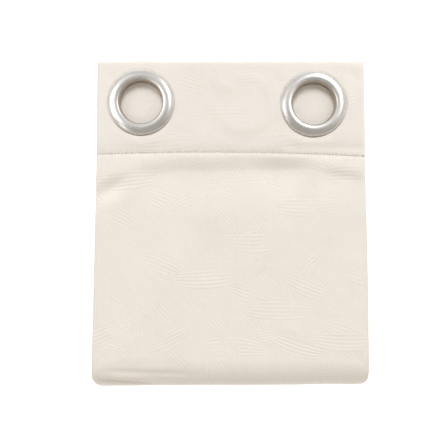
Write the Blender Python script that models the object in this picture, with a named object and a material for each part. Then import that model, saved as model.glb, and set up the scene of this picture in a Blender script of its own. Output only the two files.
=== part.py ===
"""Eyelet curtain, folded flat into an oblong packet that lies on its back.

The curtain is zigzagged across its width into five layers, which puts the
eyelets over one another at the head of the packet. It is then halved three
times along its length, so the panel makes eight leaves. +X runs across the
packet, +Y towards the heading and +Z out of its face. The origin is at the
middle of the face it lies on. Run it in Blender 4.5 or later.
"""

import math

import bmesh
import bpy

MM = 0.001

# The packet
PACKET_LENGTH = 323.0 * MM
HEAD_HALF_WIDTH = 134.0 * MM
ROLL_HALF_WIDTH = 139.5 * MM
FACE_HEIGHT = 51.0 * MM
TOP_EDGE_Y = PACKET_LENGTH / 2
SLIT = 0.3 * MM

# Leaves of the panel: every leaf is the five widths of cloth, pressed together
LEAVES = 8
LEAF_FILL = 0.845
FOLD_STEPS = 8

# The heading band
SEAM_Y = 70.5 * MM
BAND_THICK = 1.4 * MM
BAND_PROUD = 0.1 * MM
BAND_FOLD_STEPS = 6
PRONG_THICK = 1.0 * MM

# The band starts at its side edge on the left of the face and folds back at
# these distances along itself, first on the right and then left and right again
SIDE_EDGE_X = -136.0 * MM
BAND_FOLDS = (270.0 * MM, 524.0 * MM, 778.0 * MM, 1042.0 * MM)
BAND_LENGTH = 1300.0 * MM

# Eyelets: two rings snapped together through a hole in the band. The row runs
# a little downhill to the right, as the heading was folded.
HOLE_RADIUS = 23.1 * MM
RING_SIDES = 32
FIRST_EYELET = 46.0 * MM
EYELET_SPACING = 172.6 * MM
EYELETS = 8
EYELET_Y = 120.5 * MM
EYELET_ROW_SLOPE = 0.0088

# Outlines of the two rings, with heights from the middle of the cloth
FRONT_PROFILE = (
    # radius mm, height mm
    (32.8, 1.0),
    (32.8, 1.7),
    (31.2, 3.4),
    (29.2, 4.6),
    (27.0, 5.0),
    (24.7, 4.5),
    (23.4, 5.2),
    (22.4, 4.4),
    (21.4, 1.0),
    (21.0, -0.7),
    (22.7, -0.7),
    (22.7, 1.0),
)
BACK_PROFILE = (
    # radius mm, height mm
    (20.9, -1.0),
    (20.2, -4.5),
    (24.5, -4.5),
    (30.0, -3.4),
    (32.0, -2.0),
    (32.0, -1.0),
)

FACE_REACH = max(height for _, height in FRONT_PROFILE) * MM
BACK_REACH = -min(height for _, height in BACK_PROFILE) * MM

# Levels of the five band layers under one another, worked out from the rings
# that lie between them. Layers 2 and 4 are turned over, so backs face backs.
BACK_TO_BACK = BAND_THICK / 2 + SLIT + BACK_REACH
FACE_TO_FACE = BAND_THICK / 2 + SLIT + FACE_REACH
TOP_LAYER_Z = FACE_HEIGHT + BAND_PROUD - BAND_THICK / 2
LAYER_DROPS = (
    0.0,
    BACK_TO_BACK,
    BACK_TO_BACK + FACE_TO_FACE,
    2 * BACK_TO_BACK + FACE_TO_FACE,
    2 * BACK_TO_BACK + 2 * FACE_TO_FACE,
)
PILE_TOP_AT_HEAD = TOP_LAYER_Z - LAYER_DROPS[-1] - BACK_REACH - SLIT

# One leaf above the next: loose at the roll, pressed under the eyelets
ROLL_PITCH = FACE_HEIGHT / (LEAVES - 1 + LEAF_FILL)
HEAD_PITCH = PILE_TOP_AT_HEAD / (LEAVES - 2 + LEAF_FILL)
EASE_START_Y = -18.0 * MM
EASE_END_Y = 64.0 * MM
SPLIT_Y = 0.0
EASE_STEPS = 7

# Path of the cloth through the pile. Place counts down from the face. A leaf
# with no turn runs to the roll, where it folds back with the others, and the
# others run to the head of the packet, where the last one ends in its hem.
ROLL_CENTRE_Y = FACE_HEIGHT / 2 - TOP_EDGE_Y
LEAF_PATH = (
    # place, turn at y mm
    (1, None),
    (8, 155.3),
    (5, None),
    (4, 157.2),
    (3, None),
    (6, 155.3),
    (7, None),
    (2, 151.0),
)


def clear_scene():
    for item in list(bpy.data.objects):
        bpy.data.objects.remove(item, do_unlink=True)


def make_material(name, color, roughness, metallic):
    material = bpy.data.materials.new(name)
    material.use_nodes = True
    shader = material.node_tree.nodes["Principled BSDF"]
    shader.inputs["Base Color"].default_value = (*color, 1.0)
    shader.inputs["Roughness"].default_value = roughness
    shader.inputs["Metallic"].default_value = metallic
    return material


def add_object(name, mesh, material):
    mesh.materials.append(material)
    item = bpy.data.objects.new(name, mesh)
    bpy.context.scene.collection.objects.link(item)
    return item


def finish_mesh(form, name):
    """Turns a bmesh into a mesh whose faces all point outward."""
    bmesh.ops.recalc_face_normals(form, faces=form.faces)
    mesh = bpy.data.meshes.new(name)
    form.to_mesh(mesh)
    form.free()
    return mesh


def ease(y):
    """0 over the loose end of the packet, 1 under the eyelets, smooth between."""
    part = (y - EASE_START_Y) / (EASE_END_Y - EASE_START_Y)
    part = min(1.0, max(0.0, part))
    return part * part * (3 - 2 * part)


def blend(a, b, part):
    return a + (b - a) * part


def half_width(y):
    return blend(ROLL_HALF_WIDTH, HEAD_HALF_WIDTH, (y + TOP_EDGE_Y) / PACKET_LENGTH)


def leaf_sides(place, y):
    """Heights of a leaf's upper and lower side. Place 1 is the face, 8 the back."""
    if place == 1:
        loose = (LEAVES - 1) * ROLL_PITCH
        fanned = TOP_LAYER_Z - LAYER_DROPS[-1] - PRONG_THICK / 2
        return FACE_HEIGHT, blend(loose, fanned, ease(y))
    pitch = blend(ROLL_PITCH, HEAD_PITCH, ease(y))
    low = (LEAVES - place) * pitch
    return low + LEAF_FILL * pitch, low


def eased_ys(start, end):
    """Places along a leaf at which its section is drawn, from start to end."""
    span = EASE_END_Y - EASE_START_Y
    inner = [EASE_START_Y + span * step / EASE_STEPS for step in range(EASE_STEPS + 1)]
    low, high = min(start, end), max(start, end)
    ys = [low] + [y for y in inner if low + MM < y < high - MM] + [high]
    return ys if end > start else ys[::-1]


def fold_points(centre_y, start_z, end_z, side):
    """Half a turn from one leaf to another, bulging towards side (+1 or -1)."""
    middle = (start_z + end_z) / 2
    radius = (start_z - end_z) / 2
    for step in range(1, FOLD_STEPS):
        turn = math.pi * step / FOLD_STEPS
        reach = abs(radius) * math.sin(turn)
        yield centre_y + side * reach, middle + radius * math.cos(turn)


def panel_stations():
    """Pairs of points, one on each side of the cloth, along its whole path."""
    stations = []
    for index, (place, turn_at) in enumerate(LEAF_PATH):
        towards_roll = turn_at is None
        start = SPLIT_Y if index == 0 else stations[-1][2]
        end = ROLL_CENTRE_Y if towards_roll else turn_at * MM
        for y in eased_ys(start, end):
            upper, lower = leaf_sides(place, y)
            pair = (upper, lower) if towards_roll else (lower, upper)
            stations.append(((y, pair[0]), (y, pair[1]), y))
        if index == LEAVES - 1:
            break
        next_place = LEAF_PATH[index + 1][0]
        upper, lower = leaf_sides(next_place, end)
        after = (lower, upper) if towards_roll else (upper, lower)
        side = -1 if towards_roll else 1
        turns = [
            fold_points(end, from_z, to_z, side)
            for from_z, to_z in zip((stations[-1][0][1], stations[-1][1][1]), after)
        ]
        stations += [(a, b, end) for a, b in zip(*turns)]
    return stations


def prong_centre(layer, y):
    """Height of one width of cloth where the top leaf fans out to the band."""
    top, low = leaf_sides(1, SPLIT_Y)
    share = (top - low) / len(LAYER_DROPS)
    together = top - share * (layer + 0.5)
    part = (ease(y) - ease(SPLIT_Y)) / (1 - ease(SPLIT_Y))
    return blend(together, TOP_LAYER_Z - LAYER_DROPS[layer], part)


def build_panel(material):
    form = bmesh.new()
    corners = {}

    def corner(point):
        """The two ends, left and right, of the line through a section point."""
        key = (round(point[0] * 1e7), round(point[1] * 1e7))
        if key not in corners:
            y, z = point
            width = half_width(y)
            corners[key] = [form.verts.new((side * width, y, z)) for side in (-1, 1)]
        return corners[key]

    def cap(points):
        """Closes the section between these points at both sides of the packet."""
        for side in (0, 1):
            form.faces.new([corner(point)[side] for point in points])

    def skin(first, second):
        """Cloth across the packet between two section points."""
        a, b = corner(first), corner(second)
        form.faces.new((a[0], a[1], b[1], b[0]))

    def strip(stations):
        for (a, b), (c, d) in zip(stations, stations[1:]):
            cap((a, b, d, c))
            skin(a, c)
            skin(b, d)

    top, low = leaf_sides(1, SPLIT_Y)
    roots = [(SPLIT_Y, blend(top, low, step / 5)) for step in range(6)]
    body = [(a, b) for a, b, _ in panel_stations()]
    cap([*roots, body[1][1], body[1][0]])
    skin(roots[0], body[1][0])
    skin(roots[-1], body[1][1])
    strip(body[1:])
    skin(*body[-1])

    tip_y = SEAM_Y - SLIT
    for layer in range(len(LAYER_DROPS)):
        prong = [(roots[layer], roots[layer + 1])]
        for y in eased_ys(SPLIT_Y, tip_y)[1:]:
            centre = prong_centre(layer, y)
            half = PRONG_THICK / 2
            prong.append(((y, centre + half), (y, centre - half)))
        strip(prong)
        skin(*prong[-1])
    return add_object("curtain_panel", finish_mesh(form, "curtain_panel"), material)


def band_x(along):
    """Where a point along the band lies across the packet, and in which layer."""
    x, start, direction = SIDE_EDGE_X, 0.0, 1
    for layer, fold in enumerate(BAND_FOLDS):
        if along < fold:
            return x + direction * (along - start), layer
        x += direction * (fold - start)
        start, direction = fold, -direction
    return x + direction * (along - start), len(BAND_FOLDS)


def band_stations():
    """Pairs of points (x, z), one on each side of the band, along its path."""
    half = BAND_THICK / 2
    stations = [((SIDE_EDGE_X, TOP_LAYER_Z + half), (SIDE_EDGE_X, TOP_LAYER_Z - half))]
    for layer, fold in enumerate(BAND_FOLDS):
        edge, _ = band_x(fold)
        side = 1 if layer % 2 == 0 else -1
        upper = TOP_LAYER_Z - LAYER_DROPS[layer]
        lower = TOP_LAYER_Z - LAYER_DROPS[layer + 1]
        reach = (upper - lower) / 2
        centre_x = edge - side * (reach + half)
        middle = (upper + lower) / 2
        for step in range(BAND_FOLD_STEPS + 1):
            turn = math.pi * step / BAND_FOLD_STEPS
            pair = []
            for radius in (reach + side * half, reach - side * half):
                x = centre_x + side * radius * math.sin(turn)
                pair.append((x, middle + radius * math.cos(turn)))
            stations.append(tuple(pair))
    end_x, _ = band_x(BAND_LENGTH)
    last = TOP_LAYER_Z - LAYER_DROPS[-1]
    stations.append(((end_x, last + half), (end_x, last - half)))
    return stations


def eyelet_places():
    """Name, position in x, y, z and whether turned over, for each eyelet."""
    for number in range(EYELETS):
        x, layer = band_x(FIRST_EYELET + number * EYELET_SPACING)
        y = EYELET_Y - EYELET_ROW_SLOPE * x
        z = TOP_LAYER_Z - LAYER_DROPS[layer]
        yield f"eyelet_{number + 1}", (x, y, z), layer % 2 == 1


def hole_cutter():
    """Short plugs, one for each eyelet, that reach through one layer each."""
    form = bmesh.new()
    for _, place, _ in eyelet_places():
        made = bmesh.ops.create_cone(
            form,
            cap_ends=True,
            segments=RING_SIDES,
            radius1=HOLE_RADIUS,
            radius2=HOLE_RADIUS,
            depth=2 * BAND_THICK,
        )
        bmesh.ops.translate(form, verts=made["verts"], vec=place)
    return finish_mesh(form, "hole_cutter")


def build_band(material):
    form = bmesh.new()
    rows = []
    for a, b in band_stations():
        row = []
        for y in (SEAM_Y, TOP_EDGE_Y):
            row += [form.verts.new((a[0], y, a[1])), form.verts.new((b[0], y, b[1]))]
        rows.append(row)
    for near, far in zip(rows, rows[1:]):
        for i, j in ((0, 1), (1, 3), (3, 2), (2, 0)):
            form.faces.new((near[i], near[j], far[j], far[i]))
    for row in (rows[0], rows[-1]):
        form.faces.new((row[0], row[1], row[3], row[2]))
    band = add_object("heading_band", finish_mesh(form, "heading_band"), material)

    cutter = add_object("hole_cutter", hole_cutter(), material)
    cutter.hide_render = True
    cutter.display_type = "WIRE"
    holes = band.modifiers.new("eyelet holes", "BOOLEAN")
    holes.operation = "DIFFERENCE"
    holes.solver = "EXACT"
    holes.object = cutter
    return band


def turned_ring(name, profile):
    """A closed outline turned once round Z."""
    form = bmesh.new()
    points = [form.verts.new((radius * MM, 0.0, height * MM)) for radius, height in profile]
    edges = [form.edges.new((a, b)) for a, b in zip(points, points[1:] + points[:1])]
    bmesh.ops.spin(
        form,
        geom=points + edges,
        cent=(0, 0, 0),
        axis=(0, 0, 1),
        angle=math.tau,
        steps=RING_SIDES,
        use_merge=True,
    )
    mesh = finish_mesh(form, name)
    mesh.shade_smooth()
    mesh.set_sharp_from_angle(angle=math.radians(50))
    return mesh


def build_eyelets(material):
    front = turned_ring("eyelet_face_ring", FRONT_PROFILE)
    back = turned_ring("eyelet_back_ring", BACK_PROFILE)
    for mesh in (front, back):
        mesh.materials.append(material)
    for name, place, turned in eyelet_places():
        for part, mesh in (("front", front), ("back", back)):
            ring = bpy.data.objects.new(f"{name}_{part}", mesh)
            bpy.context.scene.collection.objects.link(ring)
            ring.location = place
            ring.rotation_euler = (math.pi if turned else 0.0, 0.0, 0.0)


def main():
    clear_scene()
    cloth = make_material("panel cloth", (0.80, 0.76, 0.69), 0.85, 0.0)
    heading = make_material("heading cloth", (0.84, 0.80, 0.74), 0.85, 0.0)
    metal = make_material("satin nickel", (0.72, 0.72, 0.73), 0.35, 1.0)
    build_panel(cloth)
    build_band(heading)
    build_eyelets(metal)


main()
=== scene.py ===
# %% [markdown]
# # An eyelet curtain, folded flat
#
# This lesson gives a folded curtain its looks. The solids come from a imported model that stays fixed:
# a panel of cloth in eight leaves, a heading band in five widths and eight two-part eyelets. The
# cells below build the thin, soft cloth that those solids stand for, turn the metal rings, sew the
# seam, mix the finishes and light the lot. Blender works in metres, so MM turns a maker's
# millimetres into them.

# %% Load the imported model
import math

import bmesh
import bpy
import numpy as np
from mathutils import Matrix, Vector


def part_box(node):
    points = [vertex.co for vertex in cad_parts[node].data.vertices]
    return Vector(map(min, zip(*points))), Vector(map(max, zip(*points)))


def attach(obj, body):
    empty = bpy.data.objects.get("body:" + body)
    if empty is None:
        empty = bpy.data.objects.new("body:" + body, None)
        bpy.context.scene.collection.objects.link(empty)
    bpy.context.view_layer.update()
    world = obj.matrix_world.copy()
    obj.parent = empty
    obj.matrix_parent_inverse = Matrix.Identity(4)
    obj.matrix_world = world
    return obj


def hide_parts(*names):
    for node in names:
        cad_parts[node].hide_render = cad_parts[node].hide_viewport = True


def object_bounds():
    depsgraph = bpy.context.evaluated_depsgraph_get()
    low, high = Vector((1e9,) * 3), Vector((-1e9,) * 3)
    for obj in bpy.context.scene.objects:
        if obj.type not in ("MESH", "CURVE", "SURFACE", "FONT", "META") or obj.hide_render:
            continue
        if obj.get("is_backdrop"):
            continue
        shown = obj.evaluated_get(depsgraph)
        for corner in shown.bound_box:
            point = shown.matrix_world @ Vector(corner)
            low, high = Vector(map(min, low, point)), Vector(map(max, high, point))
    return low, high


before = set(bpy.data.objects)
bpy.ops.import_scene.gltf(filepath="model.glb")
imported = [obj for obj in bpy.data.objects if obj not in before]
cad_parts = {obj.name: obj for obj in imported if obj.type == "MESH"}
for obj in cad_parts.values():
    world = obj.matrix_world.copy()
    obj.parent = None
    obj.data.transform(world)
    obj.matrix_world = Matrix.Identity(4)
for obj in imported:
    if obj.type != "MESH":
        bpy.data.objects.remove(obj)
cad_low, cad_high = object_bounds()
MM = 0.001
print("packed model:", [round(side / MM, 1) for side in cad_high - cad_low], "mm")

# %% [markdown]
# ## Read the measures from the solids
#
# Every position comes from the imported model, so the looks can't drift away from it. An eyelet's box
# tells where its middle is. The barrel of a face ring reaches 0.7 mm behind the middle of its cloth,
# so the box also tells the level of the width of cloth that the eyelet is set in, and which way up
# that width lies.

# %% Measures of the packet
BARREL_BEHIND = 0.7 * MM

panel_low, panel_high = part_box("curtain_panel")
band_low, band_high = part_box("heading_band")
seam_y, top_y = band_low.y, band_high.y
face_z = panel_high.z
roll_half = panel_high.x
roll_y = panel_low.y + face_z / 2
HEADING_DEPTH = top_y - seam_y


def eyelet_place(number):
    """Middle of an eyelet in the middle of its cloth, and 1 if its face looks up or -1 if down."""
    low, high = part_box(f"eyelet_{number}_front")
    back_low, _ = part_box(f"eyelet_{number}_back")
    up = 1 if back_low.z < low.z else -1
    level = low.z + BARREL_BEHIND if up > 0 else high.z - BARREL_BEHIND
    return Vector(((low.x + high.x) / 2, (low.y + high.y) / 2, level)), up


eyelets = [eyelet_place(number) for number in range(1, 9)]
band_levels = sorted({round(place.z, 5) for place, _ in eyelets}, reverse=True)
print("levels of the heading's five widths:", [round(z / MM, 1) for z in band_levels], "mm")

# %% [markdown]
# ## Where the cloth turns
#
# The curtain is zigzagged across its width first: from its side edge at the left to a fold on the
# right, back under itself to a fold on the left, and so on in five widths. The folds don't fall quite
# under one another, because a folder works by eye. `TURNS` holds the distances along the cloth at
# which it turns, and `TURN_X` the places where those turns come to lie.

# %% Folds across the width
TURNS = np.array([0.0, 270.0, 524.0, 778.0, 1042.0, 1300.0]) * MM
WIDTHS = len(TURNS) - 1
WAYS = np.array([1, -1, 1, -1, 1])
SIDE_EDGE_X = -136.0 * MM
TURN_X = SIDE_EDGE_X + np.concatenate(([0.0], np.cumsum(WAYS * np.diff(TURNS))))
print("the widths turn at x =", [round(float(x) / MM) for x in TURN_X], "mm")

# %% [markdown]
# Then the long strip is halved three times, like a letter. Its leaves are counted down from the
# face, and the cloth runs through them in the order of `LEAF_PLACES`: down the face, round the big
# roll at the foot, back along the floor, round a fold at the head, and so on, until the hem ends
# under the heading. The eyelets press the pile flat at the head, and it is loose at the roll. Between
# `FAN_START` and `FAN_END` every leaf eases from the one thickness to the other.

# %% Leaves and their levels
LEAF_PLACES = (1, 8, 5, 4, 3, 6, 7, 2)
LEAVES = len(LEAF_PLACES)
# y at which the cloth ends its run towards the head, for each leaf that runs that way
HEAD_TURN_Y = {8: 155.2 * MM, 4: 157.2 * MM, 6: 155.2 * MM, 2: 151.0 * MM}
FAN_START, FAN_END = -18.0 * MM, 64.0 * MM
EYELET_BACK_REACH = 4.8 * MM
ROLL_PITCH = face_z / LEAVES
HEAD_PITCH = (band_levels[-1] - EYELET_BACK_REACH) / (LEAVES - 1)
CLOTH, PRESSED_CLOTH = 0.92 * MM, 0.50 * MM


def smooth(part):
    """0 below 0, 1 above 1, and a soft S between."""
    part = np.clip(part, 0, 1)
    return part * part * (3 - 2 * part)


def blend(a, b, part):
    return a + (b - a) * part


def pressed_share(y):
    """0 where the pile is loose, rising to 1 where the eyelets press it."""
    return smooth((y - FAN_START) / (FAN_END - FAN_START))


def width_levels(place, first_on_top, y):
    """Height of each of the five widths inside a leaf, as a row for each y."""
    pressed = pressed_share(np.asarray(y, float)[:, None])
    order = np.arange(WIDTHS) + 0.5
    from_top = order if first_on_top else WIDTHS - order
    if place == 1:
        return blend(face_z - from_top * ROLL_PITCH / WIDTHS, np.array(band_levels), pressed)
    pitch = blend(ROLL_PITCH, HEAD_PITCH, pressed)
    return (LEAVES + 1 - place) * pitch - from_top * pitch / WIDTHS


thick_roll, thick_head = (round(pitch / MM, 1) for pitch in (ROLL_PITCH, HEAD_PITCH))
print("a leaf is", thick_roll, "mm thick at the roll and", thick_head, "mm at the head")

# %% [markdown]
# ## Rows of the grid
#
# A folded sheet is easiest to build as a grid, just as a loom does it: rows across the width, columns
# along the length. A row knows where its stack of five widths stands and how high each width lies in
# it. On a leaf the stack is piled straight up. In a fold it is piled outward from the middle of the
# fold, so turning that direction through half a circle carries all five widths round together.
# Rows are close where the face shows or bends, and far apart where the cloth is hidden and flat.

# %% Rows of a leaf and of a fold
# distance below the seam, and the step between rows down to there
SHOWN_STEPS = ((8.0 * MM, 0.8 * MM), (34.0 * MM, 2.0 * MM), (1.0, 3.4 * MM))
LAST_STEP = 2.0 * MM
# rows of a hidden leaf where it is loose, where it eases from thick to thin and where it is pressed
HIDDEN_ROWS = (5, 7, 4)
# steps of the folds at the foot and at the head, for the leaf that comes before each
ROLL_STEPS = {1: 54, 5: 9, 3: 12, 7: 16}
HEAD_STEPS = {8: 9, 4: 5, 6: 5}
# the rows of the big roll crowd towards the face by this power of their share
ROLL_CROWDING = 1.35
TUCK = 2.0 * MM


def face_rows():
    """y of the rows down the face, from inside the heading's lower edge to the roll."""
    ys, down = [seam_y + TUCK, seam_y + TUCK / 2], 0.0
    while seam_y - down > roll_y + LAST_STEP:
        ys.append(seam_y - down)
        down += next(step for reach, step in SHOWN_STEPS if down < reach)
    return np.array(ys + [roll_y])


def hidden_rows(start, end):
    """y of the rows of a hidden leaf: closer where it is pressed from thick to thin."""
    loose, easing, pressed = HIDDEN_ROWS
    ys = np.concatenate((
        np.linspace(roll_y, FAN_START, loose)[:-1],
        np.linspace(FAN_START, FAN_END, easing),
        np.linspace(FAN_END, max(start, end), pressed)[1:],
    ))
    return ys if start < end else ys[::-1]


def leaf_rows(place, down, ys, start, along):
    """Rows of one leaf. Its stack of widths is piled straight up."""
    levels = width_levels(place, down, ys)
    flat = np.zeros(len(ys))
    return dict(
        y=ys, z=flat, turn=flat, way=flat, levels=levels,
        cloth=blend(CLOTH, CLOTH if place == 1 else PRESSED_CLOTH, pressed_share(ys)),
        along=along + abs(ys - start), down=top_y - ys, depth=face_z - levels,
    )


def fold_rows(place, after, down, y, cloth, along):
    """Rows of the fold between two leaves, piled outward from its middle, and the fold's length."""
    here = width_levels(place, down, [y])[0]
    there = width_levels(after, not down, [y])[0]
    middle = float(np.mean(here + there)) / 2
    reach = here - middle
    steps = ROLL_STEPS[place] if down else HEAD_STEPS[place]
    share = np.arange(1, steps) / steps
    turn = math.pi * (share ** ROLL_CROWDING if place == 1 else share)
    ones = np.ones(steps - 1)
    from_top = turn if reach[0] > 0 else math.pi - turn
    return dict(
        y=y * ones, z=middle * ones, turn=turn, way=ones * (-1 if down else 1),
        levels=np.outer(ones, reach), cloth=cloth * ones, along=along + abs(reach[0]) * turn,
        down=top_y - y + face_z / 2 * from_top,
        depth=np.outer(ones, face_z / 2 - abs(reach) if down else face_z + 0 * reach),
    ), abs(reach[0]) * math.pi


print("the face has", len(face_rows()), "rows and the roll", ROLL_STEPS[1] - 1)

# %% [markdown]
# The rows are strung together in the order in which the cloth runs. The panel starts a little inside
# the heading, where it is pressed thin, and it is thicker where its hem is turned at the end.

# %% All rows from the heading to the hem
TUCK_EASE = 3.0 * MM
HEM_DEPTH, HEM_THICKER = 60.0 * MM, 1.2


def row_stations():
    parts, y, along = [], top_y, 0.0
    for index, place in enumerate(LEAF_PLACES):
        down = index % 2 == 0
        goal = roll_y if down else HEAD_TURN_Y[place]
        ys = face_rows() if place == 1 else hidden_rows(y, goal)[1:]
        goal = ys[-1]
        parts.append(leaf_rows(place, down, ys, y, along))
        along, y = along + abs(goal - y), goal
        if index < LEAVES - 1:
            cloth = parts[-1]["cloth"][-1]
            part, length = fold_rows(place, LEAF_PLACES[index + 1], down, y, cloth, along)
            parts.append(part)
            along += length
    made = {key: np.concatenate([part[key] for part in parts]) for key in parts[0]}
    made["shown"] = made["along"] < HEADING_DEPTH + seam_y - roll_y
    tucked = smooth(1 + (made["y"] - seam_y) / TUCK_EASE) * made["shown"]
    made["cloth"] = blend(made["cloth"], PRESSED_CLOTH, tucked)
    made["cloth"] = made["cloth"] * np.where(made["along"] > along - HEM_DEPTH, HEM_THICKER, 1.0)
    return made


rows = row_stations()

# %% [markdown]
# ## Columns of the grid
#
# Across the width a column is either on a straight run of one width, at a share of its way, or in
# the half turn between one width and the next. The face of the cloth looks up on the first width,
# outward in the first fold, down on the second width, and so on. Columns are closest at the corner of
# the face that creases most.

# %% Column stations
FOLD_STEPS = 6
# length of cloth that a half turn takes
FOLD_TAKES = 2.0 * MM
ON_A_RUN = -1.0
# share of the face's width, and the steps up to there
FACE_COLUMNS = ((0.20, 26), (0.90, 61), (1.0, 11))
HIDDEN_COLUMNS = 11


def column_stations(shares_by_width):
    """Columns as arrays: width, share of its run, turn in a fold, and u, the place along the cloth."""
    made = []
    for k, shares in enumerate(shares_by_width):
        made += [(k, share, ON_A_RUN, blend(TURNS[k], TURNS[k + 1], share)) for share in shares]
        if k < WIDTHS - 1:
            for part in np.arange(1, FOLD_STEPS) / FOLD_STEPS:
                made.append((k, 1.0, math.pi * part, TURNS[k + 1] + (part - 0.5) * FOLD_TAKES))
    width, share, turn, u = map(np.array, zip(*made))
    return dict(width=width, share=share, turn=turn, u=u)


face_shares = [0.0]
for end, steps in FACE_COLUMNS:
    face_shares += list(np.linspace(face_shares[-1], end, steps + 1)[1:])
hidden_shares = np.linspace(0, 1, HIDDEN_COLUMNS)
columns = column_stations([face_shares] + [hidden_shares] * (WIDTHS - 1))
print(len(columns["u"]), "columns across", round(float(TURNS[-1]), 2), "m of cloth")

# %% [markdown]
# ## Troughs, ridges and creases
#
# Cloth isn't flat where it is sewn, pressed by a ring underneath or tucked in at a corner. Each trough
# or ridge is placed as a line on the face, with a height and a half width on either side,
# because a trough is often steeper on one side than on the other. "Down" is the distance from the
# top edge, along the face and on round the roll, so a crease can run over the foot. The layers
# under the face follow it, less and less the deeper they lie. Long, low waves keep the rest from
# being flatter than pressed cloth is.

# %% Creases of the face
CREASES = (
    # from x, down, to x, down, height, half width towards the head, half width towards the foot, in mm
    (-141, 138.5, -102, 116, -4.2, 8.0, 9.0),
    (-98, 115, -42, 110, -3.4, 9.0, 22.0),
    (-60, 111, 30, 110, -4.2, 9.5, 24.0),
    (20, 109, 84, 108, -5.5, 8.5, 22.0),
    (84, 111, 138, 119, -3.2, 7.5, 20.0),
    (-136, 317, -78, 325, -1.9, 1.7, 2.2),
    (-130, 312, -76, 318, 0.7, 2.6, 2.6),
    (-124, 308, -40, 312, -1.0, 2.6, 2.6),
    (-118, 302, -50, 300, -0.3, 3.5, 3.5),
    (-140, 308, -122, 290, -0.7, 3.0, 3.0),
    (124, 292, 140, 308, -0.6, 3.0, 3.0),
    (104, 294, 134, 302, -0.3, 4.0, 4.0),
)
# how soon a crease fades at its ends: in half widths, as a least share of its length, and the part
# of that fade which lies beyond the end
CREASE_FADE = (4.0, 0.3, 0.3)
WAVES = (
    # height, length across, length down in mm, and start in turns
    (0.45, 190.0, 150.0, 0.10),
    (0.35, 104.0, 170.0, 0.33),
    (0.20, 57.0, 74.0, 0.64),
)
# a wave starts this much later down the face than across it
DOWN_START = 1.7


def beside_crease(x, down, line, half, fade):
    """Distance off a line on the face, and how much of its crease is left there, from 0 to 1."""
    x0, d0, x1, d1 = line
    halves, least, beyond = fade
    run = math.hypot(x1 - x0, d1 - d0)
    along = ((x - x0) * (x1 - x0) + (down - d0) * (d1 - d0)) / run
    off = ((down - d0) * (x1 - x0) - (x - x0) * (d1 - d0)) / run
    length = max(halves * half, least * run)
    return off, smooth(along / length + beyond) * smooth((run - along) / length + beyond)


def crease_heights(x, down):
    """How far creases and waves lift the face at each x and distance down, in metres."""
    x, down = x / MM, down / MM
    total = np.zeros(np.broadcast(x, down).shape)
    for *line, height, half, half_below in CREASES:
        off, left = beside_crease(x, down, line, half, CREASE_FADE)
        total += height * left * np.exp(-((off / np.where(off > 0, half_below, half)) ** 2))
    for height, across, length, start in WAVES:
        swing_across = np.sin(math.tau * (x / across + start))
        total += height * swing_across * np.sin(math.tau * (down / length + DOWN_START * start))
    return total * MM


print(len(CREASES), "creases and", len(WAVES), "waves on the face")

# %% [markdown]
# ## The seam
#
# The heading is sewn off below the eyelets, and thread pulls cloth down. Both sides sink towards the
# stitches, and the loose side springs up again below them. The line bows a little, because a hand
# folded it. `seam_shift` bends both sheets to follow it, and `seam_drop` shapes them across it. No
# crease reaches nearer than `SEAM_STILL`, because the thread holds both sheets together there.

# %% Shape of the seam
# shift of the stitched line in mm: in the middle, and with each mm and squared mm from there
SEAM_BOW = (1.0, -0.0071, -1.8e-4)
BOW_ABOVE, BOW_BELOW = 30.0 * MM, 55.0 * MM
SEAM_STILL = 9.0 * MM
# depth and reach in mm: of the heading's dip, and of the pinch and the slack on the loose side
HEADING_DIP, PINCH, SLACK = (2.0, 8.0), (0.65, 2.2), (1.08, 12.0)


def seam_shift(x):
    """How far the stitched line lies above its straight place at x."""
    x = np.asarray(x) / MM
    return (SEAM_BOW[0] + SEAM_BOW[1] * x + SEAM_BOW[2] * x * x) * MM


def seam_pull(y):
    """How much of that shift the cloth takes at y."""
    above = smooth(1 - (y - seam_y) / BOW_ABOVE)
    below = smooth(1 - (seam_y - y) / BOW_BELOW)
    return np.where(y > seam_y, above, below)


def seam_drop(above):
    """Height of the middle of the cloth at a distance above (+) or below (-) the stitches."""
    d = np.asarray(above) / MM
    heading = -HEADING_DIP[0] * np.exp(-np.clip(d, 0, None) / HEADING_DIP[1])
    loose = -PINCH[0] * np.exp(-((d / PINCH[1]) ** 2)) - SLACK[0] * np.exp(-((d / SLACK[1]) ** 2))
    return np.where(d > 0, heading, loose) * MM


print("the thread pulls the heading down by", HEADING_DIP[0], "mm")

# %% [markdown]
# ## Lay the sheet in its folds
#
# Now rows and columns meet. `stack_points` looks up how high each width lies in its row and swings
# the folds from one level to the next on a half circle. Folds made by hand wander, so each has its
# own slow wave along the cloth. The packet is also a little wider at its foot and halfway up.

# %% Places in the stack
BULGE = 0.016
FLARE = 0.045
# swing in mm, length of the wave in metres over a turn, and start for each fold
FOLD_WANDERS = ((0.70, 0.171, 1.9), (0.45, 0.067, 4.37))


def flare(y):
    """The packet is a little wider at its roll than at its head."""
    return 1 + FLARE * np.clip((top_y - y) / (top_y - roll_y), 0, 1)


def bulge(height):
    """The pile is a little wider halfway up than at its face and its underside."""
    return 1 - BULGE * abs(2 * height / face_z - 1) ** 3


def fold_wander(number, along):
    """How far a fold lies out of line at a distance along the cloth."""
    swings = (swing * np.sin(along / length + start * number) for swing, length, start in FOLD_WANDERS)
    return sum(swings) * MM


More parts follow.
